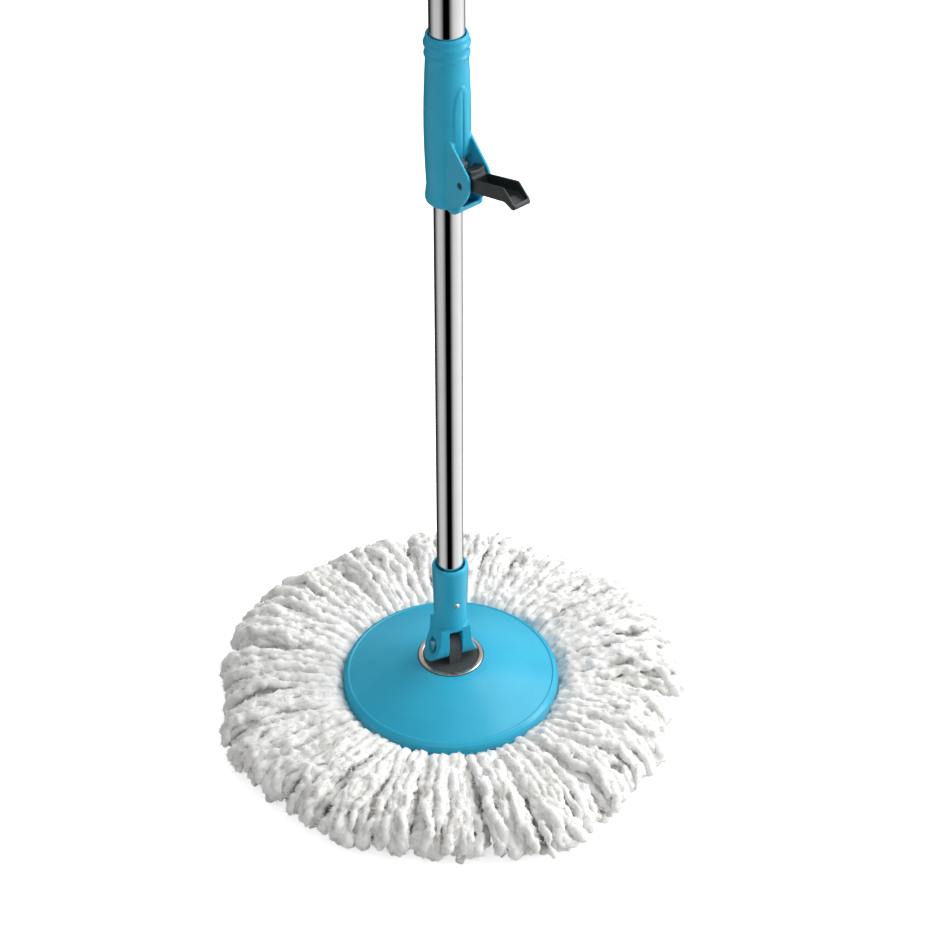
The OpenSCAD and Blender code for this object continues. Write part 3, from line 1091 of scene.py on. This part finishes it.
    def build(self, wardrobe: Wardrobe) -> None:
        """Sweeps the yarn in sectors and puts it in place of its CAD solid.

        Args:
            wardrobe: The materials.
        """
        yarn = SweptYarn()
        tree = yarn.tree()
        laid = self.strands()
        for k in range(self.sectors):
            low, high = k / self.sectors * TURN, (k + 1) / self.sectors * TURN
            group = [strand for bunch, strand in laid if low <= bunch % TURN < high]
            name = f"yarn_sector_{k + 1}"
            lines = self.centrelines(f"{name}_lines", group)
            piece = yarn.sweep(tree, lines, name, wardrobe.finish(Slot.YARN))
            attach(piece, Body.REFILL.value)
            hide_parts("strands")
            piece.visible_glossy = False
            triangles = sum(len(face.vertices) - 2 for face in piece.data.polygons)
            LOG.info("%s: %d strands, %d triangles", name, len(group), triangles)


@dataclass(frozen=True)
class Lamp:
    """A soft square lamp that faces the mop.

    Its angle is from the camera's side, to the camera's right, and its rise is above the
    horizon, both in degrees. Lengths are in metres and the power is in watts.
    """

    name: str
    angle: float
    rise: float
    distance: float
    size: float
    power: float


@dataclass(frozen=True)
class Studio:
    """The pale floor, the soft lights and the camera. Lengths are in metres, angles in degrees.

    The strips, sky and soft tables hold grey levels of the surroundings by angle from the
    camera's side, to the camera's right: what level and raised glossy rays see, and what
    lights matt surfaces.
    """

    bearing: float = -22.0
    pitch: float = 38.7
    place: tuple[float, float, float] = (-0.5153, -1.3133, 1.357)
    lens: float = 99.6
    sensor: float = 36.0
    clip: Span = (0.05, 60.0)
    floor_size: float = 30.0
    floor_grey: float = 0.78
    floor_glow: float = 0.7
    horizon: Span = (-0.12, 0.25)
    strips: tuple[Span, ...] = (
        (-180, 0.02), (-122, 0.03), (-96, 0.45), (-80, 0.62), (-50, 0.60), (-33, 0.30),
        (-20, 0.0), (14, 0.0), (29, 0.35), (42, 0.70), (62, 0.85), (104, 1.10), (128, 0.90),
        (150, 0.06), (180, 0.02),
    )
    sky: tuple[Span, ...] = (
        (-180, 0.70), (-110, 0.34), (-40, 0.20), (30, 0.40), (100, 1.25), (150, 1.0), (180, 0.70),
    )
    soft: tuple[Span, ...] = (
        (-180, 0.62), (-110, 0.33), (-20, 0.29), (60, 0.86), (115, 1.35), (180, 0.62),
    )
    lamps: tuple[Lamp, ...] = (
        Lamp("key", angle=112, rise=46, distance=2.8, size=2.4, power=51),
        Lamp("side", angle=92, rise=12, distance=2.4, size=1.2, power=25),
        Lamp("fill", angle=-30, rise=60, distance=2.8, size=1.8, power=9),
    )
    lamp_gloss: float = 0.35
    aim_height: float = 0.25

    def toward(self, angle: float) -> tuple[float, float, float]:
        """Gives a level direction by its angle from the camera's side, to the camera's right.

        Args:
            angle: 0 points at the camera, 90 to its right.

        Returns:
            A unit vector.
        """
        turn = math.radians(self.bearing - 90 + angle)
        return (math.cos(turn), math.sin(turn), 0.0)

    def camera(self) -> None:
        """Makes the camera."""
        data = bpy.data.cameras.new("camera")
        data.lens = self.lens
        data.sensor_width = self.sensor
        data.clip_start, data.clip_end = self.clip
        eye = bpy.data.objects.new("camera", data)
        eye.location = self.place
        eye.rotation_euler = (math.radians(90 - self.pitch), 0.0, math.radians(self.bearing))
        bpy.context.scene.collection.objects.link(eye)
        bpy.context.scene.camera = eye

    def floor(self) -> None:
        """Makes the floor, white to the eye and pale to the light that bounces."""
        half = self.floor_size / 2
        corners = [(-half, -half, 0), (half, -half, 0), (half, half, 0), (-half, half, 0)]
        mesh = bpy.data.meshes.new("floor")
        mesh.from_pydata(corners, [], [(0, 1, 2, 3)])
        material, graph, shader, _ = fresh_material("studio_floor")
        shader.inputs["Base Color"].default_value = (*[self.floor_grey] * 3, 1.0)
        shader.inputs["Roughness"].default_value = 1.0
        shader.inputs["Specular IOR Level"].default_value = 0.0
        seen = graph.add("ShaderNodeLightPath").outputs["Is Camera Ray"]
        glow = graph.math("MULTIPLY", seen, self.floor_glow)
        shader.inputs["Emission Color"].default_value = PURE_WHITE
        graph.feed(shader.inputs["Emission Strength"], glow)
        mesh.materials.append(material)
        floor = bpy.data.objects.new("floor", mesh)
        bpy.context.scene.collection.objects.link(floor)
        floor.visible_glossy = False

    def world(self) -> None:
        """Makes the surroundings: white to the eye, strip lights and dark flags to gloss."""
        world = bpy.data.worlds.new("studio")
        bpy.context.scene.world = world
        world.use_nodes = True
        graph = Graph(world.node_tree)
        way = graph.add("ShaderNodeTexCoord").outputs["Generated"]
        front = graph.vector_math("DOT_PRODUCT", way, self.toward(0), output="Value")
        right = graph.vector_math("DOT_PRODUCT", way, self.toward(90), output="Value")
        share = graph.math("MULTIPLY_ADD", graph.math("ARCTAN2", right, front), 1 / TURN, 0.5)

        def levels(table: Sequence[Span]) -> Socket:
            """Turns a table of levels by angle into a ramp's colour."""
            return graph.ramp(share, [(angle / 360 + 0.5, level) for angle, level in table])

        up = graph.add("ShaderNodeSeparateXYZ", {0: way}).outputs["Z"]
        raised = graph.remap(up, self.horizon, RISING)
        rays = graph.add("ShaderNodeLightPath").outputs
        gloss = graph.mix(raised, levels(self.strips), levels(self.sky))
        light = graph.mix(rays["Is Glossy Ray"], levels(self.soft), gloss)
        shown = graph.mix(rays["Is Camera Ray"], light, PURE_WHITE)
        graph.feed(world.node_tree.nodes["Background"].inputs["Color"], shown)

    def hang(self, lamp: Lamp) -> None:
        """Hangs one lamp.

        Args:
            lamp: The lamp.
        """
        data = bpy.data.lights.new(lamp.name, "AREA")
        data.size = lamp.size
        data.energy = lamp.power
        data.specular_factor = self.lamp_gloss
        level = self.toward(lamp.angle)
        flat = math.cos(math.radians(lamp.rise)) * lamp.distance
        height = self.aim_height + math.sin(math.radians(lamp.rise)) * lamp.distance
        hung = bpy.data.objects.new(lamp.name, data)
        hung.location = (level[0] * flat, level[1] * flat, height)
        look = Vector((0, 0, self.aim_height)) - Vector(hung.location)
        hung.rotation_euler = look.to_track_quat("-Z", "Y").to_euler()
        bpy.context.scene.collection.objects.link(hung)

    def build(self) -> None:
        """Sets up the whole studio."""
        bpy.context.scene.view_settings.view_transform = "Standard"
        self.camera()
        self.floor()
        self.world()
        for lamp in self.lamps:
            self.hang(lamp)


def main() -> None:
    """Builds the mop's looks around its CAD frame."""
    logging.basicConfig(level=logging.INFO, format="%(name)s: %(message)s")
    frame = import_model()
    wardrobe = Wardrobe()
    wardrobe.dress_frame(frame)
    for moulding in (
        SoftMoulding("lock_sleeve", Body.UPPER, Slot.BLUE, 0.00055, 8),
        SoftMoulding("fork_neck", Body.LOWER, Slot.BLUE, 0.0005, 7),
        SoftMoulding("lock_lever", Body.LEVER, Slot.DARK, 0.0004, 5),
        SoftMoulding("hang_cap", Body.UPPER, Slot.BLUE, 0.0006, 8),
    ):
        moulding.build(frame, wardrobe)
    Refill().build(wardrobe)
    Studio().build()


if __name__ == "__main__":
    main()
